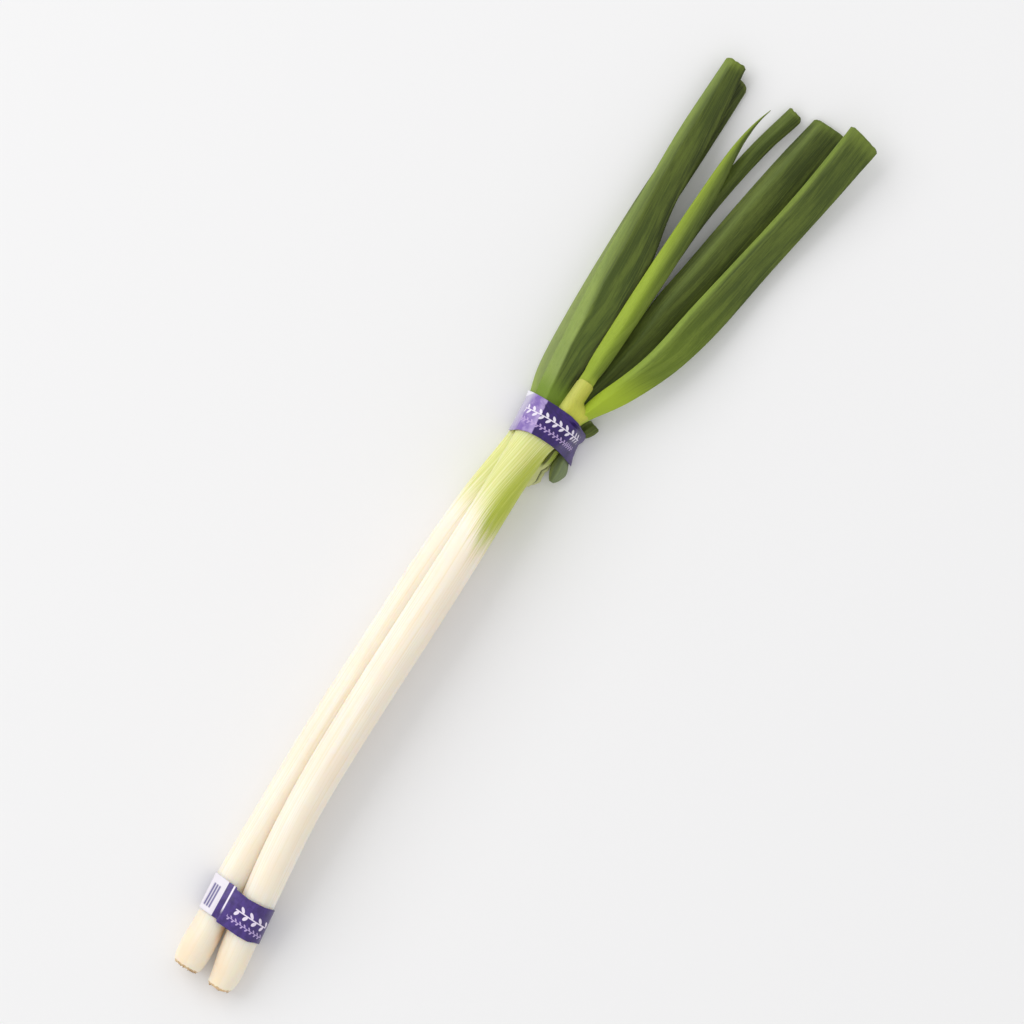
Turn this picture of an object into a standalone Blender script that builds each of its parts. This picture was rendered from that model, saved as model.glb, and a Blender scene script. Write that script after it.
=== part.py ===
"""Two long leeks lying side by side as they are sold, held together by two printed tapes.

The bundle runs along +X from the roots to the leaf tips and rests on z = 0. Each stem, each leaf, the
sheath mouth and each tape is its own object, parented to an empty at the bottom centre of the bundle.
Sizes are in millimetres. The stations of each piece are for a bundle of the usual length and girth, and
BUNDLE_LENGTH and STEM_GIRTH stretch them.
"""

import bpy
import numpy as np

MM = 0.001

# Overall sizes
BUNDLE_LENGTH = 588.0
STEM_GIRTH = 21.0
USUAL_LENGTH, USUAL_GIRTH = 588.0, 21.0
# Walls and fits
LEAF_WALL = 0.9
SHEATH_WALL = 0.9
MOUTH_DEPTH = 16.0  # how far a cut leaf is hollowed from its end
SHEATH_DEPTH = 22.0  # how far the sheath mouth is hollowed
SHEATH_FIT = 0.35  # between the inside of the sheath and the two leaves in it
BUTT_GAP = 0.5  # between the end of a stem and the leaves that grow from it
# Tapes
TAPE_WIDTH = 20.0
TAPE_THICKNESS = 0.5
TAPE_FIT = 0.4  # between a tape and what it wraps
TAPE_SWING_OVER = 20.0  # how far from the middle a tape's edges have swung back in full
TAPE_SWING_MOST = 1.2  # past that distance they swing on to this share of it, and no more
# Fineness
STEM_RING, LEAF_RING, TAPE_RING = 26, 20, 72
STEM_STEP, LEAF_STEP = 13.0, 9.0
TAPE_SLICES = 5

NECK_END = 60.0  # where the stems end and the leaves begin, under the neck tape
LEAF_START = NECK_END + BUTT_GAP

# A station is (x, low y, high y, low z, high z). A piece is smooth between its stations.
STEM_FRONT = (
    (-301.5, -9.4, 2.8, 2.6, 14.8),
    (-300.6, -10.7, 4.1, 1.3, 16.1),
    (-298.5, -11.4, 4.8, 0.6, 16.8),
    (-290.0, -11.0, 6.6, 1.0, 18.6),
    (-280.0, -9.3, 9.3, 1.8, 20.4),
    (-260.0, -6.0, 12.8, 4.6, 23.4),
    (-240.0, -3.1, 16.7, 9.7, 29.5),
    (-220.0, -0.2, 20.0, 12.6, 32.8),
    (-190.0, 3.5, 23.7, 13.9, 34.1),
    (-150.0, 5.5, 26.3, 14.2, 35.0),
    (-100.0, 6.6, 28.0, 14.5, 35.9),
    (-50.0, 7.7, 29.0, 14.6, 35.8),
    (-10.0, 9.2, 29.9, 14.9, 35.2),
    (20.0, 10.5, 31.0, 14.0, 33.0),
    (45.0, 10.6, 32.4, 13.1, 30.6),
    (NECK_END, 4.6, 33.8, 13.3, 27.4),
)
STEM_BACK = (
    (-301.5, 11.4, 25.0, 3.6, 17.0),
    (-300.6, 9.9, 26.3, 2.0, 18.4),
    (-298.5, 9.0, 28.0, 0.8, 19.8),
    (-290.0, 9.6, 29.0, 0.6, 20.0),
    (-280.0, 10.3, 29.7, 0.8, 20.2),
    (-260.0, 13.4, 32.4, 0.95, 19.95),
    (-240.0, 14.7, 33.5, 0.6, 19.4),
    (-200.0, 17.3, 35.7, 0.1, 18.5),
    (-150.0, 20.0, 38.0, 0.1, 18.1),
    (-100.0, 21.0, 39.0, 0.1, 18.1),
    (-50.0, 21.7, 39.7, 0.1, 18.1),
    (-10.0, 20.2, 39.1, 0.3, 16.9),
    (10.0, 14.2, 38.0, 0.6, 14.2),
    (25.0, 8.9, 36.5, 0.9, 12.8),
    (45.0, 6.6, 35.0, 0.95, 12.4),
    (NECK_END, 6.6, 36.8, 0.95, 12.2),
)
# The mouth of the inner sheath, an open tube that the two inner leaves grow out of
SHEATH_MOUTH = (
    (LEAF_START, 11.7, 20.2, 13.6, 26.6),
    (68.0, 10.4, 20.1, 13.2, 25.4),
    (78.0, 10.0, 19.9, 12.6, 24.0),
    (88.0, 10.1, 19.8, 12.0, 23.0),
)
# Leaves add how far across their top is highest, -0.5 to 0.5, and how steeply they rise across.
LEAF_UPPER = (
    (LEAF_START, 20.8, 33.4, 13.8, 26.6, 0.1, 0.0),
    (68.0, 21.4, 35.6, 12.6, 25.6, 0.1, 0.0),
    (80.0, 21.3, 37.4, 12.0, 24.6, 0.2, 0.0),
    (100.0, 21.0, 39.8, 11.8, 23.6, 0.3, 0.0),
    (145.0, 22.0, 45.2, 11.4, 21.4, 0.35, 0.0),
    (165.0, 24.2, 46.6, 11.0, 20.0, 0.35, 0.0),
    (182.0, 27.6, 47.7, 10.6, 18.8, 0.3, 0.0),
    (200.0, 30.0, 48.8, 10.2, 17.6, 0.3, 0.0),
    (240.0, 33.4, 50.8, 8.2, 14.4, 0.1, 0.0),
    (280.3, 38.6, 50.9, 6.6, 12.4, 0.0, 0.0),
)
LEAF_UPPER_UNDER = (
    (LEAF_START, 24.2, 36.9, 1.2, 11.8, 0.0, 0.0),
    (67.0, 26.2, 37.3, 1.0, 11.0, 0.1, 0.0),
    (70.0, 27.0, 39.8, 0.9, 10.6, 0.1, 0.0),
    (80.0, 29.0, 42.2, 0.6, 10.4, 0.1, 0.0),
    (100.0, 30.0, 44.5, 0.4, 10.0, 0.1, 0.0),
    (150.0, 29.6, 47.6, 0.3, 9.2, 0.1, 0.0),
    (200.0, 29.9, 49.1, 0.2, 8.2, 0.0, 0.0),
    (240.0, 30.7, 49.0, 0.0, 6.4, 0.0, 0.0),
    (275.0, 31.5, 46.8, 0.0, 5.2, 0.0, 0.0),
)
LEAF_YOUNG = (
    (92.0, 10.2, 20.0, 16.8, 21.0, 0.0, 0.0),
    (110.0, 9.8, 20.7, 16.4, 21.2, 0.0, 0.0),
    (150.0, 9.9, 21.7, 15.4, 20.4, 0.0, 0.0),
    (190.0, 10.8, 22.0, 14.0, 18.6, 0.0, 0.0),
    (225.0, 14.2, 21.8, 12.6, 16.0, 0.0, 0.0),
    (245.0, 16.8, 20.6, 11.4, 13.6, 0.0, 0.0),
    (258.0, 16.7, 18.2, 10.6, 11.8, 0.0, 0.0),
    (268.0, 14.5, 14.9, 10.0, 10.4, 0.0, 0.0),
)
LEAF_INNER = (
    (92.0, 12.2, 17.9, 13.4, 16.3, 0.0, 0.0),
    (110.0, 11.0, 18.8, 10.6, 14.9, 0.0, 0.0),
    (150.0, 10.4, 19.0, 8.6, 14.0, 0.0, 0.0),
    (190.0, 10.0, 18.6, 6.8, 12.2, 0.0, 0.0),
    (215.0, 8.0, 17.0, 4.6, 10.0, 0.0, 0.0),
    (240.0, 4.6, 14.0, 2.6, 8.0, 0.0, 0.0),
    (276.2, -2.6, 6.6, 2.0, 7.0, 0.0, 0.0),
)
LEAF_MIDDLE = (
    (LEAF_START, 7.4, 22.6, 1.4, 11.2, 0.0, 0.0),
    (70.0, 5.6, 20.0, 1.1, 10.8, 0.0, 0.0),
    (85.0, 1.8, 15.4, 0.6, 10.2, 0.0, 0.0),
    (110.0, -5.0, 11.2, 0.0, 8.8, 0.2, 0.0),
    (150.0, -12.8, 9.2, 3.2, 9.6, 0.3, 0.22),
    (165.0, -15.6, 7.0, 3.2, 9.1, 0.3, 0.22),
    (200.0, -20.8, 3.0, 3.2, 8.4, 0.2, 0.22),
    (240.0, -25.6, -2.0, 2.0, 6.8, 0.1, 0.14),
    (279.5, -28.4, -8.0, 0.0, 4.6, 0.0, 0.0),
)
LEAF_LOWER = (
    (LEAF_START, 5.2, 10.9, 14.0, 24.6, 0.0, 0.0),
    (68.0, 4.5, 9.8, 13.9, 23.4, 0.0, 0.0),
    (73.0, 1.2, 9.3, 13.4, 22.4, 0.0, 0.0),
    (80.0, -4.0, 8.6, 12.8, 21.4, 0.1, 0.0),
    (90.0, -10.0, 4.9, 12.4, 20.6, 0.2, 0.1),
    (100.0, -14.6, 1.0, 12.4, 20.2, 0.2, 0.15),
    (120.0, -22.6, -5.0, 12.8, 19.8, 0.2, 0.2),
    (150.0, -29.4, -9.2, 10.6, 17.0, 0.2, 0.24),
    (190.0, -34.4, -15.6, 8.2, 13.8, 0.1, 0.2),
    (225.0, -39.4, -21.0, 10.4, 15.8, 0.0, 0.2),
    (250.0, -42.8, -24.2, 12.6, 17.8, 0.0, 0.2),
    (284.5, -46.6, -27.0, 15.0, 20.0, 0.0, 0.2),
)
LOWER_TIP_LEAN = 0.2  # how far the cut of the lower leaf slants
LEAF_TRIMMED = (
    (31.4, 0.2, 1.8, 4.8, 7.6, 0.0, 0.0),
    (33.5, -1.8, 3.6, 3.4, 9.0, 0.0, 0.1),
    (38.5, -3.6, 5.8, 2.4, 10.4, 0.0, 0.1),
    (43.0, -2.6, 5.9, 1.8, 10.4, 0.0, 0.1),
    (48.0, -1.0, 5.2, 1.6, 10.2, 0.0, 0.1),
    (55.0, 0.2, 5.2, 1.6, 9.8, 0.0, 0.1),
    (61.5, 0.9, 4.9, 2.4, 9.0, 0.0, 0.1),
    (66.0, -3.0, 4.6, 2.6, 8.2, 0.0, 0.0),
    (70.0, -5.0, 3.6, 2.8, 7.4, 0.0, 0.0),
    (72.6, -5.6, 1.2, 2.8, 6.8, 0.0, 0.0),
)
TRIMMED_HELD = 2.0  # how far past the tape's edge the tape still lies against it
# Tapes: the middle of the tape on the crown, how far its two edges swing back at its low side and at its
# high side, and the middle of the stretch that it swings over
TAPE_ROOT = (-260.4, (1.0, 1.0), (0.2, 0.2), 13.0)
TAPE_NECK = (57.6, (2.8, 8.0), (6.5, 1.2), 18.0)
# How wide the foot of each inner leaf is, as a share of the sheath's inside, and its low and high edges
YOUNG_FOOT = (0.86, 0.02, 0.86)
INNER_FOOT = (0.70, -0.80, -0.08)

# Colour and roughness
CREAM = ((0.87, 0.80, 0.62), 0.45)
PALE = ((0.62, 0.60, 0.20), 0.45)
LIME = ((0.32, 0.50, 0.07), 0.42)
GREEN = ((0.13, 0.23, 0.05), 0.45)
DARK = ((0.07, 0.12, 0.03), 0.50)
PURPLE = ((0.08, 0.04, 0.24), 0.30)


def clear_scene():
    """Removes the startup objects."""
    for obj in list(bpy.data.objects):
        bpy.data.objects.remove(obj, do_unlink=True)


def stretched(stations):
    """The stations as a table, for this bundle's length and girth."""
    table = np.array(stations, float)
    table[:, 0] *= BUNDLE_LENGTH / USUAL_LENGTH
    table[:, 1:5] *= STEM_GIRTH / USUAL_GIRTH
    return table


def slopes(x, y):
    """Slopes at the stations that keep each column smooth and never overshooting."""
    step = np.diff(x)[:, None]
    rise = np.diff(y, axis=0) / step
    slope = np.zeros_like(y)
    before, after = rise[:-1], rise[1:]
    weight_a, weight_b = 2 * step[1:] + step[:-1], step[1:] + 2 * step[:-1]
    same = before * after > 0
    safe_before, safe_after = np.where(same, before, 1.0), np.where(same, after, 1.0)
    mean = (weight_a + weight_b) / (weight_a / safe_before + weight_b / safe_after)
    slope[1:-1] = np.where(same, mean, 0.0)
    slope[0], slope[-1] = rise[0], rise[-1]
    return slope


def along(table, positions):
    """The rows of a piece at the given positions along it."""
    x, y = table[:, 0], table[:, 1:]
    slope = slopes(x, y)
    i = np.clip(np.searchsorted(x, positions) - 1, 0, len(x) - 2)
    width = (x[i + 1] - x[i])[:, None]
    t = (positions - x[i])[:, None] / width
    rows = (
        (2 * t**3 - 3 * t**2 + 1) * y[i]
        + (t**3 - 2 * t**2 + t) * width * slope[i]
        + (3 * t**2 - 2 * t**3) * y[i + 1]
        + (t**3 - t**2) * width * slope[i + 1]
    )
    return np.column_stack([positions, rows])


def positions_of(table, step):
    """Every station, with even steps between them."""
    x = table[:, 0]
    cuts = [np.linspace(a, b, max(1, round((b - a) / step)) + 1)[:-1] for a, b in zip(x, x[1:])]
    return np.append(np.concatenate(cuts), x[-1])


def section(row, ring, inset=0.0, lean=0.0):
    """One closed oval across the bundle, with a wall's thickness taken off it by the inset."""
    x, y0, y1, z0, z1 = row[:5]
    crest, tilt = (row[5], row[6]) if len(row) > 5 else (0.0, 0.0)
    turn = np.arange(ring) * 2 * np.pi / ring
    half_y, half_z = (y1 - y0) / 2 - inset, (z1 - z0) / 2 - inset
    across = half_y * (np.cos(turn) + crest * np.maximum(np.sin(turn), 0) ** 2)
    up = half_z * np.sin(turn) + tilt * across
    return np.column_stack([x + lean * across, (y0 + y1) / 2 + across, (z0 + z1) / 2 + up])


def strips(rings, ring):
    """Faces that join each ring to the next, facing out."""
    faces = []
    for k in range(rings - 1):
        a, b = k * ring, (k + 1) * ring
        faces += [(a + j, a + (j + 1) % ring, b + (j + 1) % ring, b + j) for j in range(ring)]
    return faces


def placed(name, rings, faces, look):
    """A named object whose origin is the middle of its first ring, with its own material."""
    points, origin = np.concatenate(rings), rings[0].mean(axis=0)
    mesh = bpy.data.meshes.new(name)
    mesh.from_pydata(((points - origin) * MM).tolist(), [], faces)
    mesh.shade_smooth()
    obj = bpy.data.objects.new(name, mesh)
    obj.location = origin * MM
    material = bpy.data.materials.new(name)
    material.use_nodes = True
    shader = material.node_tree.nodes["Principled BSDF"]
    shader.inputs["Base Color"].default_value = (*look[0], 1.0)
    shader.inputs["Roughness"].default_value = look[1]
    shader.inputs["Metallic"].default_value = 0.0
    mesh.materials.append(material)
    return obj


def loft(name, sections, look):
    """A solid through unlike sections, with a flat face at each end."""
    ring, count = len(sections[0]), len(sections)
    faces = strips(count, ring)
    faces.append(tuple(reversed(range(ring))))
    faces.append(tuple((count - 1) * ring + j for j in range(ring)))
    return placed(name, sections, faces, look)


def stem(name, table, look):
    rows = along(table, positions_of(table, STEM_STEP))
    return loft(name, [section(row, STEM_RING) for row in rows], look)


def leaf(name, table, look, hollow=MOUTH_DEPTH, lean=0.0):
    """A flattened tube. A hollow one has an open mouth of that depth at its cut end."""
    end = table[-1, 0]
    rows = along(table, positions_of(table, LEAF_STEP))
    lean_from = end - 60
    share = np.clip((rows[:, 0] - lean_from) / (end - lean_from), 0, 1)
    sections = [section(row, LEAF_RING, 0.0, lean * k) for row, k in zip(rows, share)]
    if hollow:
        inside = along(table, np.linspace(end, end - hollow, 3))
        sections += [section(row, LEAF_RING, LEAF_WALL, lean) for row in inside]
    return loft(name, sections, look)


def with_foot(stations, foot, sheath):
    """An inner leaf's table with its foot set in the sheath: a share of its width and of its height."""
    table = stretched(stations)
    width, low, high = foot
    mouth = sheath[-1, 0]
    start = mouth - SHEATH_DEPTH + SHEATH_FIT * 4
    feet = []
    for row in along(sheath, np.array([start, mouth + SHEATH_FIT])):
        x, y0, y1, z0, z1 = row
        half_y = (y1 - y0) / 2 - SHEATH_WALL - SHEATH_FIT
        half_z = (z1 - z0) / 2 - SHEATH_WALL - SHEATH_FIT
        y, z = (y0 + y1) / 2, (z0 + z1) / 2
        feet.append([x, y - width * half_y, y + width * half_y, z + low * half_z, z + high * half_z, 0, 0])
    return np.vstack([feet, table])


def outline(table, low, high):
    """Points of a wrapped piece between two positions, seen along the bundle."""
    low, high = max(low, table[0, 0]), min(high, table[-1, 0])
    if low >= high:
        return np.empty((0, 2))
    rows = along(table, np.linspace(low, high, 6))
    return np.concatenate([section(row, 90)[:, 1:] for row in rows])


def band(points):
    """A taut loop round the points, the tape's fit outside them."""
    turn = np.arange(TAPE_RING) * 2 * np.pi / TAPE_RING
    facing = np.column_stack([np.cos(turn), np.sin(turn)])
    extreme = np.argmax(points @ facing.T, axis=0)
    return points[extreme] + facing * TAPE_FIT


def tape_span(at):
    """The first and last positions of a tape on the crown, and the middle of the stretch it swings over."""
    middle_x = at[0] * BUNDLE_LENGTH / USUAL_LENGTH
    return middle_x - TAPE_WIDTH / 2, middle_x + TAPE_WIDTH / 2, at[3] * STEM_GIRTH / USUAL_GIRTH


def swing_at(y, middle_y):
    """How much of its full swing back a tape's edge has at a distance across the bundle."""
    return np.minimum(((y - middle_y) / TAPE_SWING_OVER) ** 2, TAPE_SWING_MOST)


def held_part(table, at):
    """The part of a piece that a tape lies against, where the piece sticks out at the tape's low side."""
    _, last, middle_y = tape_span(at)
    end = last - at[1][1] * swing_at(table[:, 1:3].mean(), middle_y) + TRIMMED_HELD
    return np.vstack([table[table[:, 0] < end], along(table, np.array([end]))])


def tape(name, wrapped, at, look):
    """A closed band of film, taut round the wrapped pieces, its edges swinging back at the sides."""
    _, low_side, high_side, _ = at
    first, last, middle_y = tape_span(at)
    reach = TAPE_WIDTH / (TAPE_SLICES - 1) / 2
    crowns = np.linspace(first, last, TAPE_SLICES)
    swings = np.linspace((low_side[0], high_side[0]), (low_side[1], high_side[1]), TAPE_SLICES)
    loops = []
    for crown, swing in zip(crowns, swings):
        from_x, to_x = crown - swing.max() - reach, min(crown + reach, last + 0.5)
        loop = band(np.concatenate([outline(table, from_x, to_x) for table in wrapped]))
        full = np.where(loop[:, 0] < middle_y, swing[0], swing[1])
        x = crown - full * swing_at(loop[:, 0], middle_y)
        loops.append(np.column_stack([x, loop]))
    obj = placed(name, loops, strips(len(loops), TAPE_RING), look)
    film = obj.modifiers.new("film", "SOLIDIFY")
    film.thickness = TAPE_THICKNESS * MM
    film.offset = 1.0
    return obj


def build_sheath(sheath):
    """The tube round the inner leaves, solid at its foot and open at its mouth."""
    rows = along(sheath, positions_of(sheath, LEAF_STEP))
    mouth = sheath[-1, 0]
    inside = along(sheath, np.linspace(mouth, mouth - SHEATH_DEPTH, 4))
    sections = [section(row, LEAF_RING) for row in rows]
    sections += [section(row, LEAF_RING, SHEATH_WALL) for row in inside]
    return loft("sheath_mouth", sections, PALE)


def build():
    """Every piece of the bundle, in order from the roots."""
    front, back = stretched(STEM_FRONT), stretched(STEM_BACK)
    sheath = stretched(SHEATH_MOUTH)
    upper, upper_under = stretched(LEAF_UPPER), stretched(LEAF_UPPER_UNDER)
    young, inner = with_foot(LEAF_YOUNG, YOUNG_FOOT, sheath), with_foot(LEAF_INNER, INNER_FOOT, sheath)
    middle, lower, trimmed = stretched(LEAF_MIDDLE), stretched(LEAF_LOWER), stretched(LEAF_TRIMMED)
    at_neck = (front, back, sheath, upper, upper_under, middle, lower, held_part(trimmed, TAPE_NECK))
    return [
        stem("stem_front", front, CREAM),
        stem("stem_back", back, CREAM),
        build_sheath(sheath),
        leaf("leaf_upper", upper, GREEN),
        leaf("leaf_upper_under", upper_under, GREEN),
        leaf("leaf_young", young, LIME, hollow=0.0),
        leaf("leaf_inner", inner, GREEN),
        leaf("leaf_middle", middle, DARK),
        leaf("leaf_lower", lower, GREEN, lean=LOWER_TIP_LEAN),
        leaf("leaf_trimmed", trimmed, DARK, hollow=0.0),
        tape("tape_root", (front, back), TAPE_ROOT, PURPLE),
        tape("tape_neck", at_neck, TAPE_NECK, PURPLE),
    ]


def bottom_centre():
    """The bottom centre of everything built so far."""
    bpy.context.view_layer.update()
    graph = bpy.context.evaluated_depsgraph_get()
    corners = []
    for obj in bpy.context.scene.objects:
        if obj.type == "MESH":
            whole = obj.evaluated_get(graph)
            corners += [(whole.matrix_world @ vertex.co)[:] for vertex in whole.data.vertices]
    corners = np.array(corners)
    low, high = corners.min(axis=0), corners.max(axis=0)
    return (low[0] + high[0]) / 2, (low[1] + high[1]) / 2, low[2]


def main():
    clear_scene()
    collection = bpy.data.collections.new("leek_pair")
    bpy.context.scene.collection.children.link(collection)
    stand = bpy.data.objects.new("bundle", None)
    collection.objects.link(stand)
    for obj in build():
        collection.objects.link(obj)
        obj.parent = stand
    x, y, z = bottom_centre()
    stand.location = (-x, -y, -z)


main()
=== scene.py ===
"""Looks for the pair of tied leeks: plant skin, open leaf ends, printed tapes, floor, light and camera.

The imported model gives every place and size. Each CAD piece is measured across at many positions along
the bundle, and a finer surface with ridges, folds and ragged cuts is laid over the same shape. Positions
along and across the bundle are in millimetres from the bundle's own zero, which is ORIGIN in the frame.
"""

import math

import bpy
import numpy as np
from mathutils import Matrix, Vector


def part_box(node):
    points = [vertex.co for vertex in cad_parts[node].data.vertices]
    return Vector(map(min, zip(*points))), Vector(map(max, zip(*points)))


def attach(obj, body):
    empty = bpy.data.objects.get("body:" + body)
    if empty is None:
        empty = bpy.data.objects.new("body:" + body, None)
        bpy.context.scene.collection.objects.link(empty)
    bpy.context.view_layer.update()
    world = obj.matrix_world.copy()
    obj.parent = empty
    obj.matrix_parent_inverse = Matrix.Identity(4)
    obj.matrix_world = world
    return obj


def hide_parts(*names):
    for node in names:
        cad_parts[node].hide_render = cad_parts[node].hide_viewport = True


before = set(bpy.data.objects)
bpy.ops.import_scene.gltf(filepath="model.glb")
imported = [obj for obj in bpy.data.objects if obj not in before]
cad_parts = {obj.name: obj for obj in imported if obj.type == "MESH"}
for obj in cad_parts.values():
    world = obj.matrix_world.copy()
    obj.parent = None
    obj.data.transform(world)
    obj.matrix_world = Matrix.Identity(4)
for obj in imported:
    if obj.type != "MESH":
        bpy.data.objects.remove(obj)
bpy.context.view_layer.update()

MM = 0.001
BODY = "root"
SEED = 11
ORIGIN = np.array([7.52, -2.15, 0.12])  # the bundle's own zero, in millimetres from the frame's

# Camera: straight down, turned so that the bundle lies across the picture from lower left to upper right
CAMERA_HEIGHT = 5.0
CAMERA_TURN = math.radians(-56.0)
FRAME_WIDTH = 0.5632  # metres of floor across the picture
AIM = (0.0133, 0.0070)

# Light: a bright room, and one large window that leaves soft shadows on the low side of each piece
FLOOR_COLOUR = (0.885, 0.88, 0.875, 1)
FLOOR_GLOW, FLOOR_GLOW_COLOUR = 0.03, (1.0, 0.98, 0.95, 1)
ROOM_LIGHT, ROOM_COLOUR = 0.76, (0.98, 0.985, 1.0, 1)
WINDOW_PLACE, WINDOW_SIZE, WINDOW_POWER = (0.4, 4.0, 3.4), (5.0, 4.0), 124.0

# Points round each piece's skin
STEM_RING, LEAF_RING, COLLAR_RING, TAPE_RING = 144, 112, 160, 480
ROOT_SIDES = 6

ROOT_END = -301.5  # how far along the bundle the root plates lie
BACK_NIP, BACK_NIP_AT, BACK_NIP_REACH = 1.3, -268, 18  # the back stem is thinner under the root tape
LEAF_WALL = 0.7
SKIN_RADIUS = 8.0  # of the circle that the skin's pattern is wrapped on
MOUTH_ROWS = 24  # rows of the collar that have an inner wall
KEEL = ((100, 0.0), (130, 0.9), (228, 0.9), (262, 0.3), (285, 0.0))  # share of the space under a leaf

# Tape edges, as (distance across the bundle, how far along the bundle the edge lies there)
NECK_LEFT = ((-3, 44.2), (-1, 45.0), (3, 46.4), (8, 47.5), (14, 47.8),
             (20, 47.7), (26, 47.0), (31, 45.2), (35, 42.3), (38, 41.6))
NECK_RIGHT = ((-3, 54.0), (-0.5, 57.0), (1.5, 61.8), (3.5, 64.6), (6, 66.4),
              (10, 67.4), (20, 67.6), (30, 67.1), (36, 66.6), (39, 66.0))
ROOT_LEFT = ((-8, -268.4), (-6, -268.8), (-2, -270.4), (4, -270.9),
             (18.0, -270.8), (18.4, -269.6), (34, -269.6))
ROOT_RIGHT = ((-8, -248.0), (-4, -248.2), (0, -249.3), (10, -250.4),
              (18.0, -249.8), (18.4, -248.8), (34, -248.6))
# The entries of those tables that stand for the whole edge, and how far inside the right one to measure
LEFT_ENTRY, RIGHT_ENTRY, RIGHT_INSET = 4, 5, 3
NECK_CENTRE, NECK_BEND, NECK_CREASE = 57.0, 0.005, 25.3
NECK_BULGE = (1.15, 64.3, 2.6, 7.4, 3.0)  # height, place and reach along, place and reach across
ROOT_CENTRE, ROOT_LAP = -259.1, 18.0
NECK_STAND, ROOT_STAND = 0.8, 0.45  # how far the film stands off what it wraps
FILM, LAP_STEP, CREASE_STEP = 0.28, 0.32, 0.35
TAPE_ROWS = 40


# ---------------------------------------------------------------- measuring the CAD pieces

def triangles(node):
    """A node's triangles as an array of corners, in the bundle's own millimetres."""
    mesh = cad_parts[node].data
    mesh.calc_loop_triangles()
    points = np.array([v.co[:] for v in mesh.vertices]) / MM - ORIGIN
    return points[np.array([t.vertices[:] for t in mesh.loop_triangles])]


def slice_points(corners, x):
    """Points where the triangles cross the plane at x, as (y, z)."""
    found = []
    for a, b in ((0, 1), (1, 2), (2, 0)):
        p, q = corners[:, a], corners[:, b]
        crosses = (p[:, 0] - x) * (q[:, 0] - x) < 0
        p, q = p[crosses], q[crosses]
        share = ((x - p[:, 0]) / (q[:, 0] - p[:, 0]))[:, None]
        found.append((p + (q - p) * share)[:, 1:])
    return np.concatenate(found)


def measure(node, positions):
    """Rows of (x, middle y, middle z, half width, half height, crest, tilt) of a node's oval sections."""
    corners = triangles(node)
    rows = []
    for x in positions:
        points = slice_points(corners, x)
        low, high = points[points[:, 0].argmin()], points[points[:, 0].argmax()]
        middle = (low + high) / 2
        half = (high[0] - low[0]) / 2
        tilt = (high[1] - low[1]) / (2 * half)
        level = points[:, 1] - middle[1] - tilt * (points[:, 0] - middle[0])
        crest = (points[level.argmax(), 0] - middle[0]) / half
        rows.append([x, *middle, half, -level.min(), crest, tilt])
    return np.array(rows)


def eased(table, reach):
    """The table with every column but x smoothed along the piece over that many millimetres."""
    x = table[:, 0]
    weight = np.exp(-(((x[:, None] - x[None]) / reach) ** 2))
    room = np.minimum(x - x[0], x[-1] - x)[:, None]
    weight = np.where(np.abs(x[:, None] - x[None]) > room + 1e-6, 0, weight)
    smooth = weight @ table / weight.sum(axis=1)[:, None]
    smooth[:, 0] = x
    return smooth


def extent(node):
    """Where the node starts and ends along the bundle."""
    low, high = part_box(node)
    return low[0] / MM - ORIGIN[0], high[0] / MM - ORIGIN[0]


# ---------------------------------------------------------------- shaping

def steps(x, table):
    """The value at x between the table's (x, value) pairs."""
    at, value = zip(*table)
    return np.interp(x, at, value)


def rise(x, low, high):
    """From 0 at low to 1 at high, smoothly."""
    t = np.clip((x - low) / (high - low), 0, 1)
    return t * t * (3 - 2 * t)


def ripple(x, turn, seed, length, folds):
    """Smooth wandering over a tube's skin: along x, and round it with no break where the ring closes."""
    random = np.random.default_rng(SEED + 100 + seed)
    total = np.zeros(np.broadcast(x, turn).shape)
    for k in range(1, folds + 1):
        phase = random.uniform(0, 2 * np.pi, 3)
        stretch = length * random.uniform(0.7, 1.4)
        total += np.sin(k * turn + phase[0] + 1.5 * np.sin(x / stretch + phase[1])) * np.cos(
            x / stretch * 1.7 + phase[2]
        ) / math.sqrt(k)
    return total / math.sqrt(folds)


def fold(turn, crest, keen):
    """Across and up shares of a leaf's section: an oval whose upper side is partly folded to a ridge."""
    across, up = np.cos(turn), np.sin(turn)
    peak = np.where(across < crest, (1 + across) / (1 + crest), (1 - across) / (1 - crest))
    return across, np.where(up > 0, (1 - keen) * up + keen * peak, up)


def rings(table, turn, crest, keen, swell, lean, keel=0.0):
    """Points of every section: rows along the piece, columns round it. The keel is how many
    millimetres deeper the underside is."""
    x, y, z, half_y, half_z, _, tilt = (column[:, None] for column in table.T)
    across, up = fold(turn[None], crest[:, None], keen)
    across = half_y * across * (1 + swell)
    up = (half_z * up + np.clip(up, -1, 0) * np.reshape(keel, (-1, 1))) * (1 + swell) + tilt * across
    return np.stack([x + lean[:, None] * across, y + across, z + up], axis=2)


def ring_arc(grid):
    """Distance round each section from its first point, as a full turn in radians."""
    closed = np.concatenate([grid, grid[:, :1]], axis=1)
    lengths = np.linalg.norm(np.diff(closed, axis=1), axis=2)
    arc = np.cumsum(lengths, axis=1) - lengths
    return arc / lengths.sum(axis=1, keepdims=True) * 2 * np.pi


def skin_coordinates(grid, twist=0.0):
    """Seamless coordinates for the skin's pattern: millimetres along, and a circle round."""
    arc = ring_arc(grid) + twist
    return np.stack([grid[:, :, 0], SKIN_RADIUS * np.cos(arc), SKIN_RADIUS * np.sin(arc)], axis=2)


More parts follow.
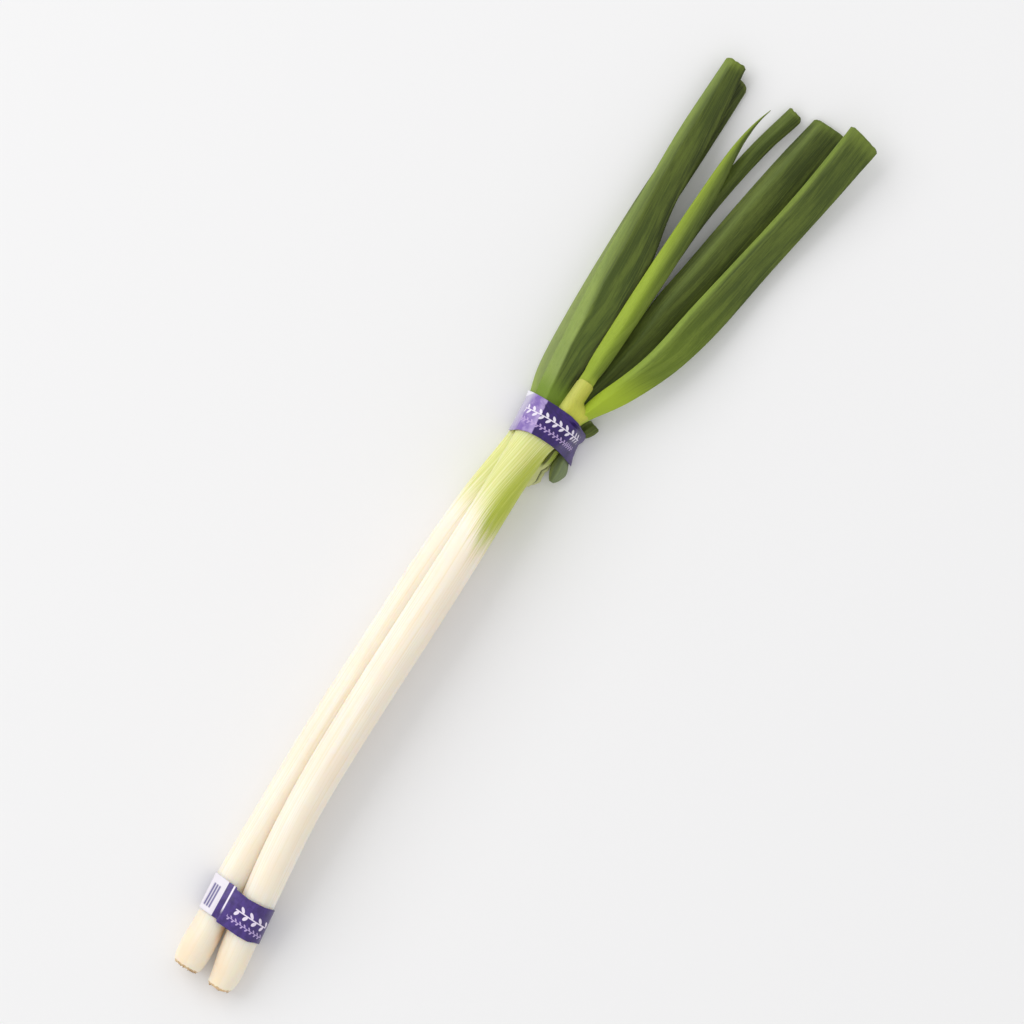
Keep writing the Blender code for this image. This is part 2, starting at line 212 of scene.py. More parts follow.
def tube(name, grid, values, material, node, closed=False):
    """A tube from a grid of points, with the values that its material reads, set in place of its node.
    Its ends are capped, or joined to each other if it is closed."""
    rows, ring = grid.shape[:2]
    index = np.arange(rows * ring).reshape(rows, ring)
    if closed:
        index = np.vstack([index, index[:1]])
    a, b = index[:-1], index[1:]
    after_a, after_b = np.roll(a, -1, axis=1), np.roll(b, -1, axis=1)
    faces = np.stack([a, after_a, after_b, b], axis=2).reshape(-1, 4).tolist()
    if not closed:
        faces += [index[0][::-1].tolist(), index[-1].tolist()]
    surface(name, grid.reshape(-1, 3), faces, values, material, node)


def surface(name, points, faces, values, material, node):
    """A mesh with the values that its material reads at each point, set in place of its node."""
    mesh = bpy.data.meshes.new(name)
    mesh.from_pydata(((points + ORIGIN) * MM).tolist(), [], faces)
    mesh.shade_smooth()
    for key, value in values.items():
        value = np.asarray(value, float)
        vector = value.size == 3 * len(points)
        layer = mesh.attributes.new(key, "FLOAT_VECTOR" if vector else "FLOAT", "POINT")
        layer.data.foreach_set("vector" if vector else "value", value.reshape(-1))
    mesh.materials.append(material)
    obj = bpy.data.objects.new(name, mesh)
    bpy.context.scene.collection.objects.link(obj)
    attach(obj, BODY)
    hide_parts(node)


# ---------------------------------------------------------------- materials

class Nodes:
    """Short calls for building one material's nodes."""

    def __init__(self, name, roughness, specular):
        self.material = bpy.data.materials.new(name)
        self.material.use_nodes = True
        self.tree = self.material.node_tree
        self.shader = self.tree.nodes["Principled BSDF"]
        self.shader.inputs["Roughness"].default_value = roughness
        self.shader.inputs["Specular IOR Level"].default_value = specular

    def link(self, value, socket):
        if isinstance(value, bpy.types.NodeSocket):
            self.tree.links.new(value, socket)
        elif value is not None:
            socket.default_value = value

    def attribute(self, name, output="Fac"):
        node = self.tree.nodes.new("ShaderNodeAttribute")
        node.attribute_name = name
        return node.outputs[output]

    def scaled(self, vector, scale):
        node = self.tree.nodes.new("ShaderNodeVectorMath")
        node.operation = "MULTIPLY"
        self.link(vector, node.inputs[0])
        node.inputs[1].default_value = scale
        return node.outputs[0]

    def noise(self, vector, detail=2.0, roughness=0.5, distortion=0.0):
        node = self.tree.nodes.new("ShaderNodeTexNoise")
        self.link(vector, node.inputs["Vector"])
        node.inputs["Scale"].default_value = 1.0
        node.inputs["Detail"].default_value = detail
        node.inputs["Roughness"].default_value = roughness
        node.inputs["Distortion"].default_value = distortion
        return node.outputs["Fac"]

    def math(self, operation, a, b=None, c=None):
        node = self.tree.nodes.new("ShaderNodeMath")
        node.operation = operation
        for value, socket in zip((a, b, c), node.inputs):
            self.link(value, socket)
        return node.outputs[0]

    def span(self, value, low, high, to_low=0.0, to_high=1.0):
        node = self.tree.nodes.new("ShaderNodeMapRange")
        node.interpolation_type = "SMOOTHSTEP"
        for k, part in enumerate((value, low, high, to_low, to_high)):
            self.link(part, node.inputs[k])
        return node.outputs[0]

    def inside(self, value, low, high, soft):
        """1 between low and high, fading over the soft distance at each."""
        started = self.span(value, low - soft, low + soft)
        return self.math("MULTIPLY", started, self.span(value, high - soft, high + soft, 1.0, 0.0))

    def mix(self, factor, a, b):
        node = self.tree.nodes.new("ShaderNodeMix")
        node.data_type = "RGBA"
        self.link(factor, node.inputs["Factor"])
        for value, key in ((a, 6), (b, 7)):
            value = value if isinstance(value, bpy.types.NodeSocket) else (*value, 1.0)
            self.link(value, node.inputs[key])
        return node.outputs[2]

    def bump(self, height, strength, distance, normal=None):
        node = self.tree.nodes.new("ShaderNodeBump")
        node.inputs["Strength"].default_value = strength
        node.inputs["Distance"].default_value = distance
        self.link(height, node.inputs["Height"])
        self.link(normal, node.inputs["Normal"])
        return node.outputs[0]

    def finish(self, colour, normal=None, glow=0.0, radius=(1.0, 0.7, 0.35), reach=0.006):
        """Sets the colour, the bump, and how much light passes under the skin."""
        self.link(colour, self.shader.inputs["Base Color"])
        self.link(normal, self.shader.inputs["Normal"])
        self.shader.inputs["Subsurface Weight"].default_value = glow
        self.shader.inputs["Subsurface Radius"].default_value = radius
        self.shader.inputs["Subsurface Scale"].default_value = reach
        return self.material


def linear(r, g, b):
    """A display colour, 0 to 255, as linear light."""
    return tuple((c / 255 / 12.92) if c <= 10 else ((c / 255 + 0.055) / 1.055) ** 2.4 for c in (r, g, b))


def stem_material(name):
    """Cream stem skin that turns pale lime and then green in streaks, with fine veins along it."""
    n = Nodes(name, 0.38, 0.4)
    skin, along = n.attribute("skin", "Vector"), n.attribute("along")
    veins = n.noise(n.scaled(skin, (0.010, 1.5, 1.5)), 3.0, 0.6)
    fine = n.noise(n.scaled(skin, (0.05, 5.5, 5.5)), 3.0, 0.65)
    cloud = n.noise(n.scaled(skin, (0.02, 0.12, 0.12)), 2.0)
    # Cream skin, warmer towards the roots
    cream = n.mix(n.span(cloud, 0.3, 0.7), linear(247, 235, 218), linear(250, 241, 229))
    cream = n.mix(n.span(veins, 0.42, 0.8), cream, linear(240, 225, 196))
    cream = n.mix(n.math("MULTIPLY", n.span(fine, 0.5, 0.8), 0.5), cream, linear(241, 228, 202))
    warm = n.mix(n.span(cloud, 0.3, 0.7), linear(244, 223, 194), linear(248, 234, 214))
    cream = n.mix(n.attribute("warm"), cream, warm)
    # Streaks of lime and green, which begin further along in some veins than in others
    wander = n.math("MULTIPLY_ADD", n.math("SUBTRACT", fine, 0.5), 34.0, along)
    wander = n.math("MULTIPLY_ADD", n.math("SUBTRACT", veins, 0.5), 44.0, wander)
    lime = n.mix(n.span(veins, 0.3, 0.7), linear(229, 229, 168), linear(210, 214, 128))
    lime = n.mix(n.math("MULTIPLY", n.span(fine, 0.5, 0.75), 0.6), lime, linear(198, 204, 104))
    deep = n.mix(n.span(veins, 0.35, 0.7), linear(178, 190, 62), linear(200, 206, 96))
    deep = n.mix(n.span(fine, 0.45, 0.75), deep, linear(158, 174, 40))
    low = n.math("MULTIPLY_ADD", n.math("SUBTRACT", veins, 0.5), 1.2, n.attribute("deep"))
    green = n.mix(n.span(low, 0.2, 0.95), lime, deep)
    ahead = n.math("MULTIPLY_ADD", n.attribute("deep"), 16.0, wander)
    colour = n.mix(n.span(ahead, -16, 14), cream, green)
    # The tan patch on the back stem's low side beside the root tape, and the tan, speckled root plate
    tan = n.mix(n.noise(n.scaled(skin, (0.9, 0.9, 0.9)), 3.0), linear(232, 206, 160), linear(176, 132, 86))
    colour = n.mix(n.attribute("tan_beside_root_tape"), colour, linear(206, 168, 120))
    specks = n.noise(n.scaled(skin, (0.8, 1.3, 1.3)), 3.0, 0.7)
    root_at = n.math("MULTIPLY_ADD", n.math("SUBTRACT", specks, 0.5), 1.6, n.attribute("root"))
    colour = n.mix(n.span(root_at, 0.35, 0.75), colour, tan)
    bump = n.bump(veins, 0.22, 0.0004, n.bump(fine, 0.15, 0.0002))
    return n.finish(colour, bump, 0.9, (1.0, 0.8, 0.55), 0.010)


def leaf_material(name, body, tip, painted_light_and_green, foot, rim, glow=0.12):
    """Waxy leaf with veins along it: a body colour that changes to the tip's, a lighter band, painted shade
    on the low side and painted shadow lines, a pale foot and a light cut edge, placed by the values on its
    surface. The lighter band is painted light on the leaves and the collar, and the sheath's own green on
    the torn sheath, where the tip's colour is painted shadow."""
    n = Nodes(name, 0.48, 0.2)
    skin = n.attribute("skin", "Vector")
    veins = n.noise(n.scaled(skin, (0.014, 1.9, 1.9)), 4.0, 0.7)
    fine = n.noise(n.scaled(skin, (0.07, 6.5, 6.5)), 3.0, 0.7)
    cloud = n.noise(n.scaled(skin, (0.03, 0.35, 0.35)), 4.0, 0.6)
    grain = n.noise(n.scaled(skin, (0.35, 1.6, 1.6)), 3.0, 0.65)
    speck = n.noise(n.scaled(skin, (1.1, 1.1, 1.1)), 2.0)
    ground = n.mix(n.attribute("far"), linear(*body), linear(*tip))
    # Painted light: the lighter band on the leaves and the collar (on the torn sheath, its own green)
    ground = n.mix(n.attribute("painted_light_and_green"), ground, linear(*painted_light_and_green))
    rim_at = n.math("MULTIPLY_ADD", n.math("SUBTRACT", grain, 0.5), 1.2, n.attribute("rim"))
    ground = n.mix(n.span(rim_at, 0.0, 1.3), ground, linear(*rim))
    # Painted shade on the low side, and painted shadow lines, towards near black
    ground = n.mix(n.attribute("painted_shade"), ground, linear(26, 30, 14))
    # Lighter veins and darker grain over that ground
    dark = n.mix(0.42, ground, (0.004, 0.007, 0.002))
    light = n.mix(0.18, ground, linear(176, 196, 84))
    colour = n.mix(n.span(cloud, 0.38, 0.66), ground, light)
    colour = n.mix(n.math("MULTIPLY", n.span(veins, 0.46, 0.66), 0.75), colour, light)
    colour = n.mix(n.math("MULTIPLY", n.span(fine, 0.46, 0.74), 0.5), colour, dark)
    colour = n.mix(n.math("MULTIPLY", n.span(grain, 0.5, 0.75), 0.35), colour, dark)
    foot_at = n.math("MULTIPLY_ADD", n.math("SUBTRACT", veins, 0.5), 0.6, n.attribute("foot"))
    colour = n.mix(n.span(foot_at, 0.1, 0.9), colour, linear(*foot))
    bump = n.bump(speck, 0.18, 0.0002, n.bump(veins, 0.6, 0.0005, n.bump(fine, 0.3, 0.0002)))
    return n.finish(colour, bump, glow, (0.8, 1.0, 0.5), 0.003)


def film_base(n, upper, lower):
    """A film's cloudiness, its crinkles and its purple, from the lower colour to the upper."""
    skin = n.attribute("skin", "Vector")
    cloud = n.noise(n.scaled(skin, (0.25, 0.25, 0.25)), 3.0, 0.6)
    crinkle = n.noise(n.scaled(skin, (0.5, 0.12, 0.12)), 3.0, 0.6, 1.0)
    purple = n.mix(n.span(cloud, 0.35, 0.65), linear(*lower), linear(*upper))
    return cloud, n.bump(crinkle, 0.35, 0.0006), purple


def sprig(n, column, around, half, period):
    """A printed row of plain slanting leaves, in turn on either side of a thin stalk."""
    row = n.math("DIVIDE", around, period)
    t = n.math("SUBTRACT", n.math("FRACT", row), 0.5)
    side = n.math("SIGN", n.math("SUBTRACT", n.math("FRACT", n.math("MULTIPLY", row, 0.5)), 0.5))
    out = n.math("MULTIPLY", column, side)
    up = n.math("MULTIPLY", t, period)
    # Each leaf is an oval on slanting axes, set off from the stalk
    lengthwise = n.math("MULTIPLY_ADD", out, 0.75, n.math("MULTIPLY", up, 0.66))
    lengthwise = n.math("SUBTRACT", lengthwise, 0.42 * half)
    aside = n.math("SUBTRACT", n.math("MULTIPLY", up, 0.75), n.math("MULTIPLY", out, 0.66))
    aside = n.math("ADD", aside, 0.36 * half)
    length = n.math("DIVIDE", lengthwise, 0.62 * half)
    width = n.math("DIVIDE", aside, 0.31 * half)
    blade = n.math("ADD", n.math("MULTIPLY", length, length), n.math("MULTIPLY", width, width))
    blade = n.span(blade, 0.75, 1.15, 1.0, 0.0)
    stalk = n.span(n.math("ABSOLUTE", column), 0.07 * half, 0.16 * half, 1.0, 0.0)
    return n.math("MAXIMUM", blade, stalk)


def neck_film_material(name):
    """Deep purple film with two printed rows, with painted glare that makes it paler where it leans over
    the far side, and a painted highlight at its corner.
    Places are in millimetres: y across the bundle, column along it from the tape's middle."""
    n = Nodes(name, 0.34, 0.35)
    cloud, bump, purple = film_base(n, (56, 31, 110), (44, 24, 88))
    y, around, column, top = (n.attribute(key) for key in ("y", "around", "column", "top"))
    # Painted glare: the far side is paler, past a line that lies a little aslant
    turned = n.math("MULTIPLY_ADD", column, -0.13, y)
    pale = n.mix(n.span(cloud, 0.4, 0.7), linear(128, 102, 174), linear(164, 142, 196))
    pale = n.mix(n.span(turned, 26.6, 29.0, 0.55, 0.0), pale, linear(178, 158, 206))
    pale = n.mix(n.span(y, 32.5, 36.0), pale, linear(190, 182, 208))
    painted_glare = n.math("MULTIPLY", n.span(turned, 25.0, 25.7), top)
    colour = n.mix(painted_glare, purple, pale)
    colour = n.mix(n.span(y, 3, -1, 0.0, 0.25), colour, linear(130, 116, 160))
    # Painted highlight on the film's lifted corner
    corner = n.span(n.math("MULTIPLY_ADD", column, 0.8, y), 43.6, 44.6)
    colour = n.mix(n.math("MULTIPLY", corner, top), colour, linear(238, 236, 244))
    # The printed rows
    wide = sprig(n, n.math("ADD", column, -2.4), around, 2.6, 2.2)
    small = sprig(n, n.math("ADD", column, 3.7), around, 1.5, 1.4)
    on_top = n.math("MULTIPLY", top, n.inside(y, 1.8, 34.0, 0.5))
    colour = n.mix(n.math("MULTIPLY", small, on_top), colour, linear(184, 160, 208))
    colour = n.mix(n.math("MULTIPLY", wide, on_top), colour, linear(232, 224, 238))
    n.shader.inputs["Coat Weight"].default_value = 0.2
    n.shader.inputs["Coat Roughness"].default_value = 0.2
    return n.finish(colour, bump)


def root_film_material(name):
    """Purple film with two printed rows, a torn white line, and a white panel with plain stripes.
    Places are in millimetres: y across the bundle, column along it from the tape's middle."""
    n = Nodes(name, 0.36, 0.35)
    _, bump, purple = film_base(n, (76, 52, 132), (60, 38, 108))
    y, around, column, top = (n.attribute(key) for key in ("y", "around", "column", "top"))
    purple = n.mix(n.span(y, 6, -6, 0.0, 0.6), purple, linear(66, 48, 108))
    # The panel, the torn line and the stripes follow a level that lies a little aslant
    level = n.math("MULTIPLY_ADD", column, -0.086, y)
    white = n.span(level, 22.9, 23.1)
    torn = n.math("MULTIPLY", n.inside(level, 18.7, 19.7, 0.15), n.span(column, -7.5, -2.5))
    rows = n.inside(n.math("FRACT", n.math("DIVIDE", level, 1.5)), 0.25, 0.8, 0.12)
    block = n.math("MULTIPLY", n.inside(level, 25.6, 30.2, 0.15), n.inside(column, -7.6, 5.6, 0.5))
    stripes = n.math("MULTIPLY", n.math("MULTIPLY_ADD", rows, 0.75, 0.25), block)
    # The printed rows
    wide = sprig(n, n.math("ADD", column, -0.2), around, 3.0, 2.9)
    small = sprig(n, n.math("ADD", column, 5.8), around, 1.5, 1.5)
    colour = n.mix(n.math("MULTIPLY", small, n.inside(y, -6.4, 15, 0.3)), purple, linear(190, 168, 216))
    colour = n.mix(n.math("MULTIPLY", wide, n.inside(y, -5.5, 12.6, 0.3)), colour, linear(236, 224, 242))
    colour = n.mix(torn, colour, linear(246, 236, 250))
    panel = n.mix(stripes, linear(233, 227, 235), linear(104, 96, 146))
    colour = n.mix(white, colour, panel)
    colour = n.mix(top, purple, colour)
    n.shader.inputs["Coat Weight"].default_value = 0.3
    n.shader.inputs["Coat Roughness"].default_value = 0.2
    return n.finish(colour, bump)


# ---------------------------------------------------------------- the pieces

def full_turn(count):
    """Angles of that many points round a circle."""
    return np.arange(count) * 2 * np.pi / count


def root_plate(ring, turn, seed):
    """Rings from near the plate's middle out to the stem's first ring, bulging a little and lumpy."""
    middle = ring.mean(axis=0)
    lumps = ripple(np.zeros((4, 1)), turn, seed + 3, 9.0, 12)
    plate = []
    for share, lump in zip((0.04, 0.35, 0.66, 0.9), lumps):
        bulge = -0.45 * (1 - share**2) - 0.16 * lump
        plate.append(middle + (ring - middle) * share + np.outer(bulge, (1, 0, 0)))
    return plate


def stem_tints(front, x, cosine):
    """How deep the green is, and how tan the skin is beside the root tape, at each point of a stem."""
    if front:
        deep = 1 - rise(cosine + 0.02 * np.clip(x - 12, 0, 40) - 0.12, -0.75, 0.75)
        return deep * (1 - 0.3 * rise(x, 32, 52)), np.zeros_like(x)
    deep = (0.35 + 0.6 * rise(x, 35, 40)) * (1 - rise(cosine, -0.95, -0.62)) * rise(x, 18, 34)
    tan_beside_root_tape = 0.85 * np.exp(-(((x + 273) / 7) ** 2)) * (1 - rise(cosine, -0.95, -0.55))
    return deep, tan_beside_root_tape


def stem(node, material, seed):
    """A stem's skin with its root plate, whose end is cut a little on a slant."""
    front = node == "stem_front"
    x0, x1 = extent(node)
    ends = x0 + np.array([0.02, 0.25, 0.5, 0.9, 1.3, 1.8, 2.4, 3.1, 4.0, 5.0, 6.2])
    positions = np.concatenate([ends, np.arange(x0 + 7.5, x1 - 0.2, 1.5), [x1 - 0.05]])
    table = eased(measure(node, positions), 6.0)
    if not front:
        nip = BACK_NIP * np.exp(-(((positions - BACK_NIP_AT) / BACK_NIP_REACH) ** 2))
        table[:, 3] -= nip / 2
        table[:, 1] -= nip / 2
    turn = full_turn(STEM_RING)
    x = positions[:, None]
    swell = 0.008 * ripple(x, turn, seed, 60.0, 5) + 0.004 * ripple(x, turn, seed + 40, 25.0, 16)
    swell = swell * np.clip((x - x0) / 10, 0.1, 1)
    flat = np.zeros(len(table))
    grid = rings(table, turn, flat, 0.0, swell, flat)
    grid = np.concatenate([root_plate(grid[0], turn, seed), grid])
    x, y = grid[:, :, 0].copy(), grid[:, :, 1]
    deep, tan_beside_root_tape = stem_tints(front, x, np.broadcast_to(np.cos(turn), x.shape))
    slant = 0.05 * np.clip(-3 - y, 0, None) ** 2 if front else 0.1 * np.clip(18 - y, 0, None)
    grid[:, :, 0] += slant * (1 - rise(x, ROOT_END, ROOT_END + 16))
    twist = -0.9 * rise(x, -10, 60) if front else np.zeros_like(x)
    brown_to = 1.6 + 1.6 * np.abs(ripple(x * 0, turn, seed + 5, 30.0, 18))
    tube(node + "_skin", grid, {
        "skin": skin_coordinates(grid, twist),
        "along": grid[:, :, 0],
        "deep": deep,
        "tan_beside_root_tape": tan_beside_root_tape,
        "warm": (1 - rise(x - ROOT_END, 6, 60)) * 0.8,
        "root": 1 - rise(x - ROOT_END, 0.2, brown_to),
    }, material, node)
    return grid


def roots(node, grid, material, seed):
    """Short dry stubs of cut roots, standing out of the root plate."""
    random = np.random.default_rng(SEED + seed)
    rim = grid[4]
    middle, points, faces, tones = rim.mean(axis=0), [], [], []
    side, up = np.array([0, 1.0, 0.0]), np.array([0, 0.0, 1.0])
    around, sides = full_turn(ROOT_SIDES), range(ROOT_SIDES)
    rings_of_root = ((-0.3, 1.0), (0.35, 0.95), (0.75, 0.8), (1.0, 0.35))  # (share of length, of thickness)
    for _ in range(70):
        share, at = math.sqrt(random.uniform(0.05, 0.98)), random.integers(len(rim))
        foot = middle + (rim[at] - middle) * share
        thick, long = random.uniform(0.22, 0.5), random.uniform(0.2, 0.9)
        lean = np.array([-1.0, *((foot - middle)[1:] / 9 + random.normal(0, 0.35, 2))])
        first = len(points)
        for way, taper in rings_of_root:
            centre = foot + lean * long * way
            points += [centre + thick * taper * (side * math.cos(t) + up * math.sin(t)) for t in around]
        last = len(points) - 1
        for a in range(first, last - ROOT_SIDES, ROOT_SIDES):
            b = a + ROOT_SIDES
            faces += [(a + (j + 1) % ROOT_SIDES, a + j, b + j, b + (j + 1) % ROOT_SIDES) for j in sides]
        faces += [tuple(first + j for j in sides), tuple(last - j for j in sides)]
        tones += [random.uniform(0, 1)] * (last + 1 - first)
    surface(node + "_roots", np.array(points), faces, {"tone": tones}, material, node)


def root_material(name):
    """Dry roots, each of its own brown."""
    n = Nodes(name, 0.7, 0.3)
    rough = n.noise(n.scaled(n.attribute("tone"), (3.0, 3.0, 3.0)), 3.0)
    colour = n.mix(n.attribute("tone"), linear(236, 212, 164), linear(136, 96, 60))
    return n.finish(n.mix(n.span(rough, 0.3, 0.7), colour, linear(176, 134, 88)), None, 0.1)


def end_cut(grid, tip, across, cut, seed, turn):
    """Moves a leaf's last rows along it so that its cut slants, has rounded corners and is a little ragged.
    The cut is (slant, low corner, high corner, raggedness) in millimetres."""
    slant, low, high, ragged = cut
    shift = slant * (across - 1) / 2
    shift = shift - low * np.clip(-across, 0, 1) ** 7 - high * np.clip(across, 0, 1) ** 7
    shift = shift + ragged * (ripple(np.zeros((1, 1)), turn, seed + 7, 9.0, 11)[0] - 0.8)
    return shift[None] * rise(grid[:, :, 0], tip - 26, tip)


def leaf_table(node, positions, tip, lean, reach, widen, spread):
    """The leaf's sections, carried on to its tip where the slanting cut was left out, and then smoothed."""
    table = measure(node, positions)
    if lean:
        last = table[-1].copy()
        slope = (table[-1] - table[-6]) / (table[-1, 0] - table[-6, 0])
        carried = [last + slope * (x - last[0]) for x in np.linspace(last[0], tip, 4)[1:]]
        table = np.vstack([table, carried])
    table = eased(table, reach)
    x = table[:, 0]
    if widen:
        low, high, half = widen
        table[:, 3] = np.maximum(table[:, 3], half * rise(x, low, low + 6) * (x < high))
    if spread:
        more = spread[0] * (1 - rise(x, *spread[1:]))
        table[:, 3] += more / 2
        table[:, 1] -= more / 2
    return table


def leaf(node, material, seed, ridge=((0, 0.0),), keen=0.5, wavy=0.012, reach=7.0, lean=0.0,
         widen=None, spread=None, keel=((0, 0.0),), cut=(0.0, 0.6, 0.6, 0.5), mouth=14.0, rim_width=4.0,
         painted_light_and_green=None, soften=(0.0, 100, 165), fade=None, foot=None, far=(140, 280),
         shade=(0.3, 0.95, 0.0), shadow_line=None):
    """A flattened tube leaf with a ridge along its top, and a cut end that is open where it has a mouth.

    Its shape: the ridge is where the crest lies across the leaf, from -1 to 1, and keen is how sharp it is.
    Wavy is how uneven the skin is, reach how far it is smoothed along, and lean how far the end slants.
    Widen is (from, to, least half width), spread is (more width on the low side, from, to), keel is the
    share of the space under the leaf that it fills, cut is as in end_cut, mouth is how deep it opens.

    Its looks: the band of painted light is (start, full, end, gone) across the leaf from its ridge, soften
    is (how much later it is full, from, to) and fade is (how much it weakens, from, to). The foot and far
    are where along the leaf its pale foot ends and its tip's colour begins, and rim_width is that of the
    light cut edge. Shade is (start, full, strength) of the painted shade on the low side, and the shadow
    line is where a dark line of painted shadow lies."""
    x0, x1 = extent(node)
    tip = x1 - 0.05
    measured_to = tip
    if lean:
        tip, measured_to = x1 - lean * 10.0, x1 - lean * 24.0
    positions = np.append(np.arange(x0 + 0.05, measured_to - 0.5, 1.4), measured_to)
    table = leaf_table(node, positions, tip, lean, reach, widen, spread)
    x = table[:, 0]
    turn = full_turn(LEAF_RING)
    swell = wavy * ripple(x[:, None], turn, seed, 45.0, 4)
    swell = swell + 0.006 * ripple(x[:, None], turn, seed + 50, 30.0, 15)
    lean_by = lean * np.clip((x - tip + 60) / 60, 0, 1)
    crest = steps(x, ridge)
    deeper = steps(x, keel) * np.clip(table[:, 2] - table[:, 4] - 0.9, 0, None)
    grid = rings(table, turn, crest, keen, swell, lean_by, deeper)
    across = np.cos(turn)
    from_tip = np.broadcast_to((tip - x)[:, None], grid.shape[:2])
    crest_at = np.broadcast_to(crest[:, None], grid.shape[:2])
    inner_side = np.zeros(grid.shape[:2])
    shift = end_cut(grid, tip, across, cut, seed, turn)
    grid[:, :, 0] += shift
    if mouth:
        rows = tip - x <= mouth
        inner = table[rows].copy()
        inner[:, 3] -= LEAF_WALL
        inner[:, 4] = np.maximum(inner[:, 4] - LEAF_WALL, 0.35)
        hollow = rings(inner, turn, crest[rows], keen, swell[rows] * 0.8, lean_by[rows], deeper[rows])
        hollow[:, :, 0] += shift[rows] - 0.15
        grid = np.concatenate([grid, hollow[::-1]])
        from_tip = np.concatenate([from_tip, from_tip[rows][::-1]])
        crest_at = np.concatenate([crest_at, crest_at[rows][::-1]])
        inner_side = np.concatenate([inner_side, np.ones_like(hollow[:, :, 0])])
    along = grid[:, :, 0]
    upper = np.sin(turn) > -0.05
    band = np.zeros_like(along)
    # Painted light: a lighter band across the leaf, placed from its ridge towards the side that faces the
    # window
    if painted_light_and_green:
        start, full, end, gone = painted_light_and_green
        place = across - crest_at
        full = full + soften[0] * rise(along, *soften[1:])
        band = rise(place, start, full) * (1 - rise(place, end, gone)) * upper * (1 - inner_side)
    if fade:
        band = band * (1 - fade[0] * rise(along, *fade[1:]))
    rim = (1 - rise(from_tip, 0, rim_width)) if mouth else np.zeros_like(along)
    # Painted shade: the low side, away from the window, is darkened
    painted_shade = shade[2] * rise(-across, *shade[:2]) * upper * (1 - inner_side) * rise(along, 72, 96)
    # Painted shadow: a dark line along the leaf's low edge, where the gap beside the next leaf lies in deep
    # shade
    if shadow_line:
        above = grid[:, :, 1] - steps(along, shadow_line)
        painted_shade = np.maximum(painted_shade, 0.97 * (1 - rise(above, -0.7, 0.7)) * upper * (1 - rise(along, 160, 180)))
    tube(node + "_skin", grid, {
        "skin": skin_coordinates(grid),
        "painted_light_and_green": band,
        "far": rise(along, *far),
        "foot": (1 - rise(along, *foot)) if foot else np.zeros_like(along),
        "rim": np.maximum(rim, 0.6 * inner_side),
        "painted_shade": painted_shade,
    }, material, node)
    return grid


def oval(row):
    """Points round a measured section, as (y, z)."""
    turn = full_turn(72)
    across = row[3] * np.cos(turn)
    return np.column_stack([row[1] + across, row[2] + row[4] * np.sin(turn) + row[6] * across])


def hull(points, offset, count):
    """A loop round the points, offset outwards: from its low side over the top, and back underneath.
    The first half of the loop is the upper side."""
    turn = np.linspace(np.pi, -np.pi, 721)[:-1]
    facing = np.column_stack([np.cos(turn), np.sin(turn)])
    loop = points[np.argmax(points @ facing.T, axis=0)] + facing * offset
    low, high = loop[:, 0].argmin(), loop[:, 0].argmax()
    loop = np.roll(loop, -low, axis=0)
    high = (high - low) % len(loop)
    halves = loop[: high + 1], np.vstack([loop[high:], loop[:1]])
    out = []
    for half in halves:
        far = np.append(0, np.cumsum(np.linalg.norm(np.diff(half, axis=0), axis=1)))
        at = np.linspace(0, far[-1], count // 2 + 1)[:-1]
        out.append(np.column_stack([np.interp(at, far, half[:, 0]), np.interp(at, far, half[:, 1])]))
    return np.concatenate(out)


def blurred(stack, reach, axis=0):
    """The array smoothed along an axis: over neighbours in a row, or round a closed one."""
    total, weight = 0, 0
    for k in range(-3 * reach, 3 * reach + 1):
        share = math.exp(-((k / reach) ** 2))
        if axis == 0:
            moved = stack[np.clip(np.arange(len(stack)) + k, 0, len(stack) - 1)]
        else:
            moved = np.roll(stack, k, axis=axis)
        total, weight = total + share * moved, weight + share
    return total / weight


def collar(material):
    """The sheath mouth: one skin round the inner leaves and the foot of the lower leaf, which leaves it
    along a slanting edge. Past that it narrows to the thin open tube of the inner sheath."""
    x = np.concatenate([np.arange(65.2, 87.5, 0.6), [87.8]])
    tube_rows, foot_rows = measure("sheath_mouth", x), measure("leaf_lower", x)
    loops = []
    for row, foot in zip(tube_rows, foot_rows):
        keep = 1 - rise(row[0], 70.5, 80.5)
        middle = row[1:3]
        both = np.concatenate([oval(row), middle + (oval(foot) - middle) * keep])
        loops.append(hull(both, 0.25, COLLAR_RING))
    loops = blurred(blurred(np.array(loops), 2), 2, axis=1)
    grid = np.concatenate([np.broadcast_to(x[:, None, None], (*loops.shape[:2], 1)), loops], axis=2)
    inner = np.array([hull(oval(row), -0.12, COLLAR_RING) for row in tube_rows[-MOUTH_ROWS:]])
    inner_x = np.broadcast_to(x[-MOUTH_ROWS:, None, None], (MOUTH_ROWS, COLLAR_RING, 1))
    hollow = np.concatenate([inner_x, inner], axis=2)
    # The mouth's edge: ragged, with rounded corners
    y = grid[-1, :, 1]
    share = (y - y.mean()) / (y.max() - y.min()) * 2
    ragged = 0.35 * ripple(np.zeros((1, 1)), np.linspace(0, 2 * np.pi, COLLAR_RING), 71, 9.0, 9)[0]
    shift = ragged - 3.2 * np.clip(share, 0, 1) ** 5 - 1.6 * np.clip(-share, 0, 1) ** 6
    grid[:, :, 0] += shift * rise(grid[:, :, 0], 72, 88)
    hollow[:, :, 0] += shift * rise(hollow[:, :, 0], 72, 88) - 0.05
    grid = np.concatenate([grid, hollow[::-1]])
    zero = np.zeros(grid.shape[:2])
    tube("sheath_mouth_skin", grid, {
        "skin": skin_coordinates(grid),
        # Painted light: lighter on the side towards the window
        "painted_light_and_green": rise(grid[:, :, 1], 13, 19) * 0.8,
        "far": rise(grid[:, :, 0], 66, 90),
        "foot": zero,
        "rim": zero,
        "painted_shade": zero,
    }, material, "sheath_mouth")
    return grid


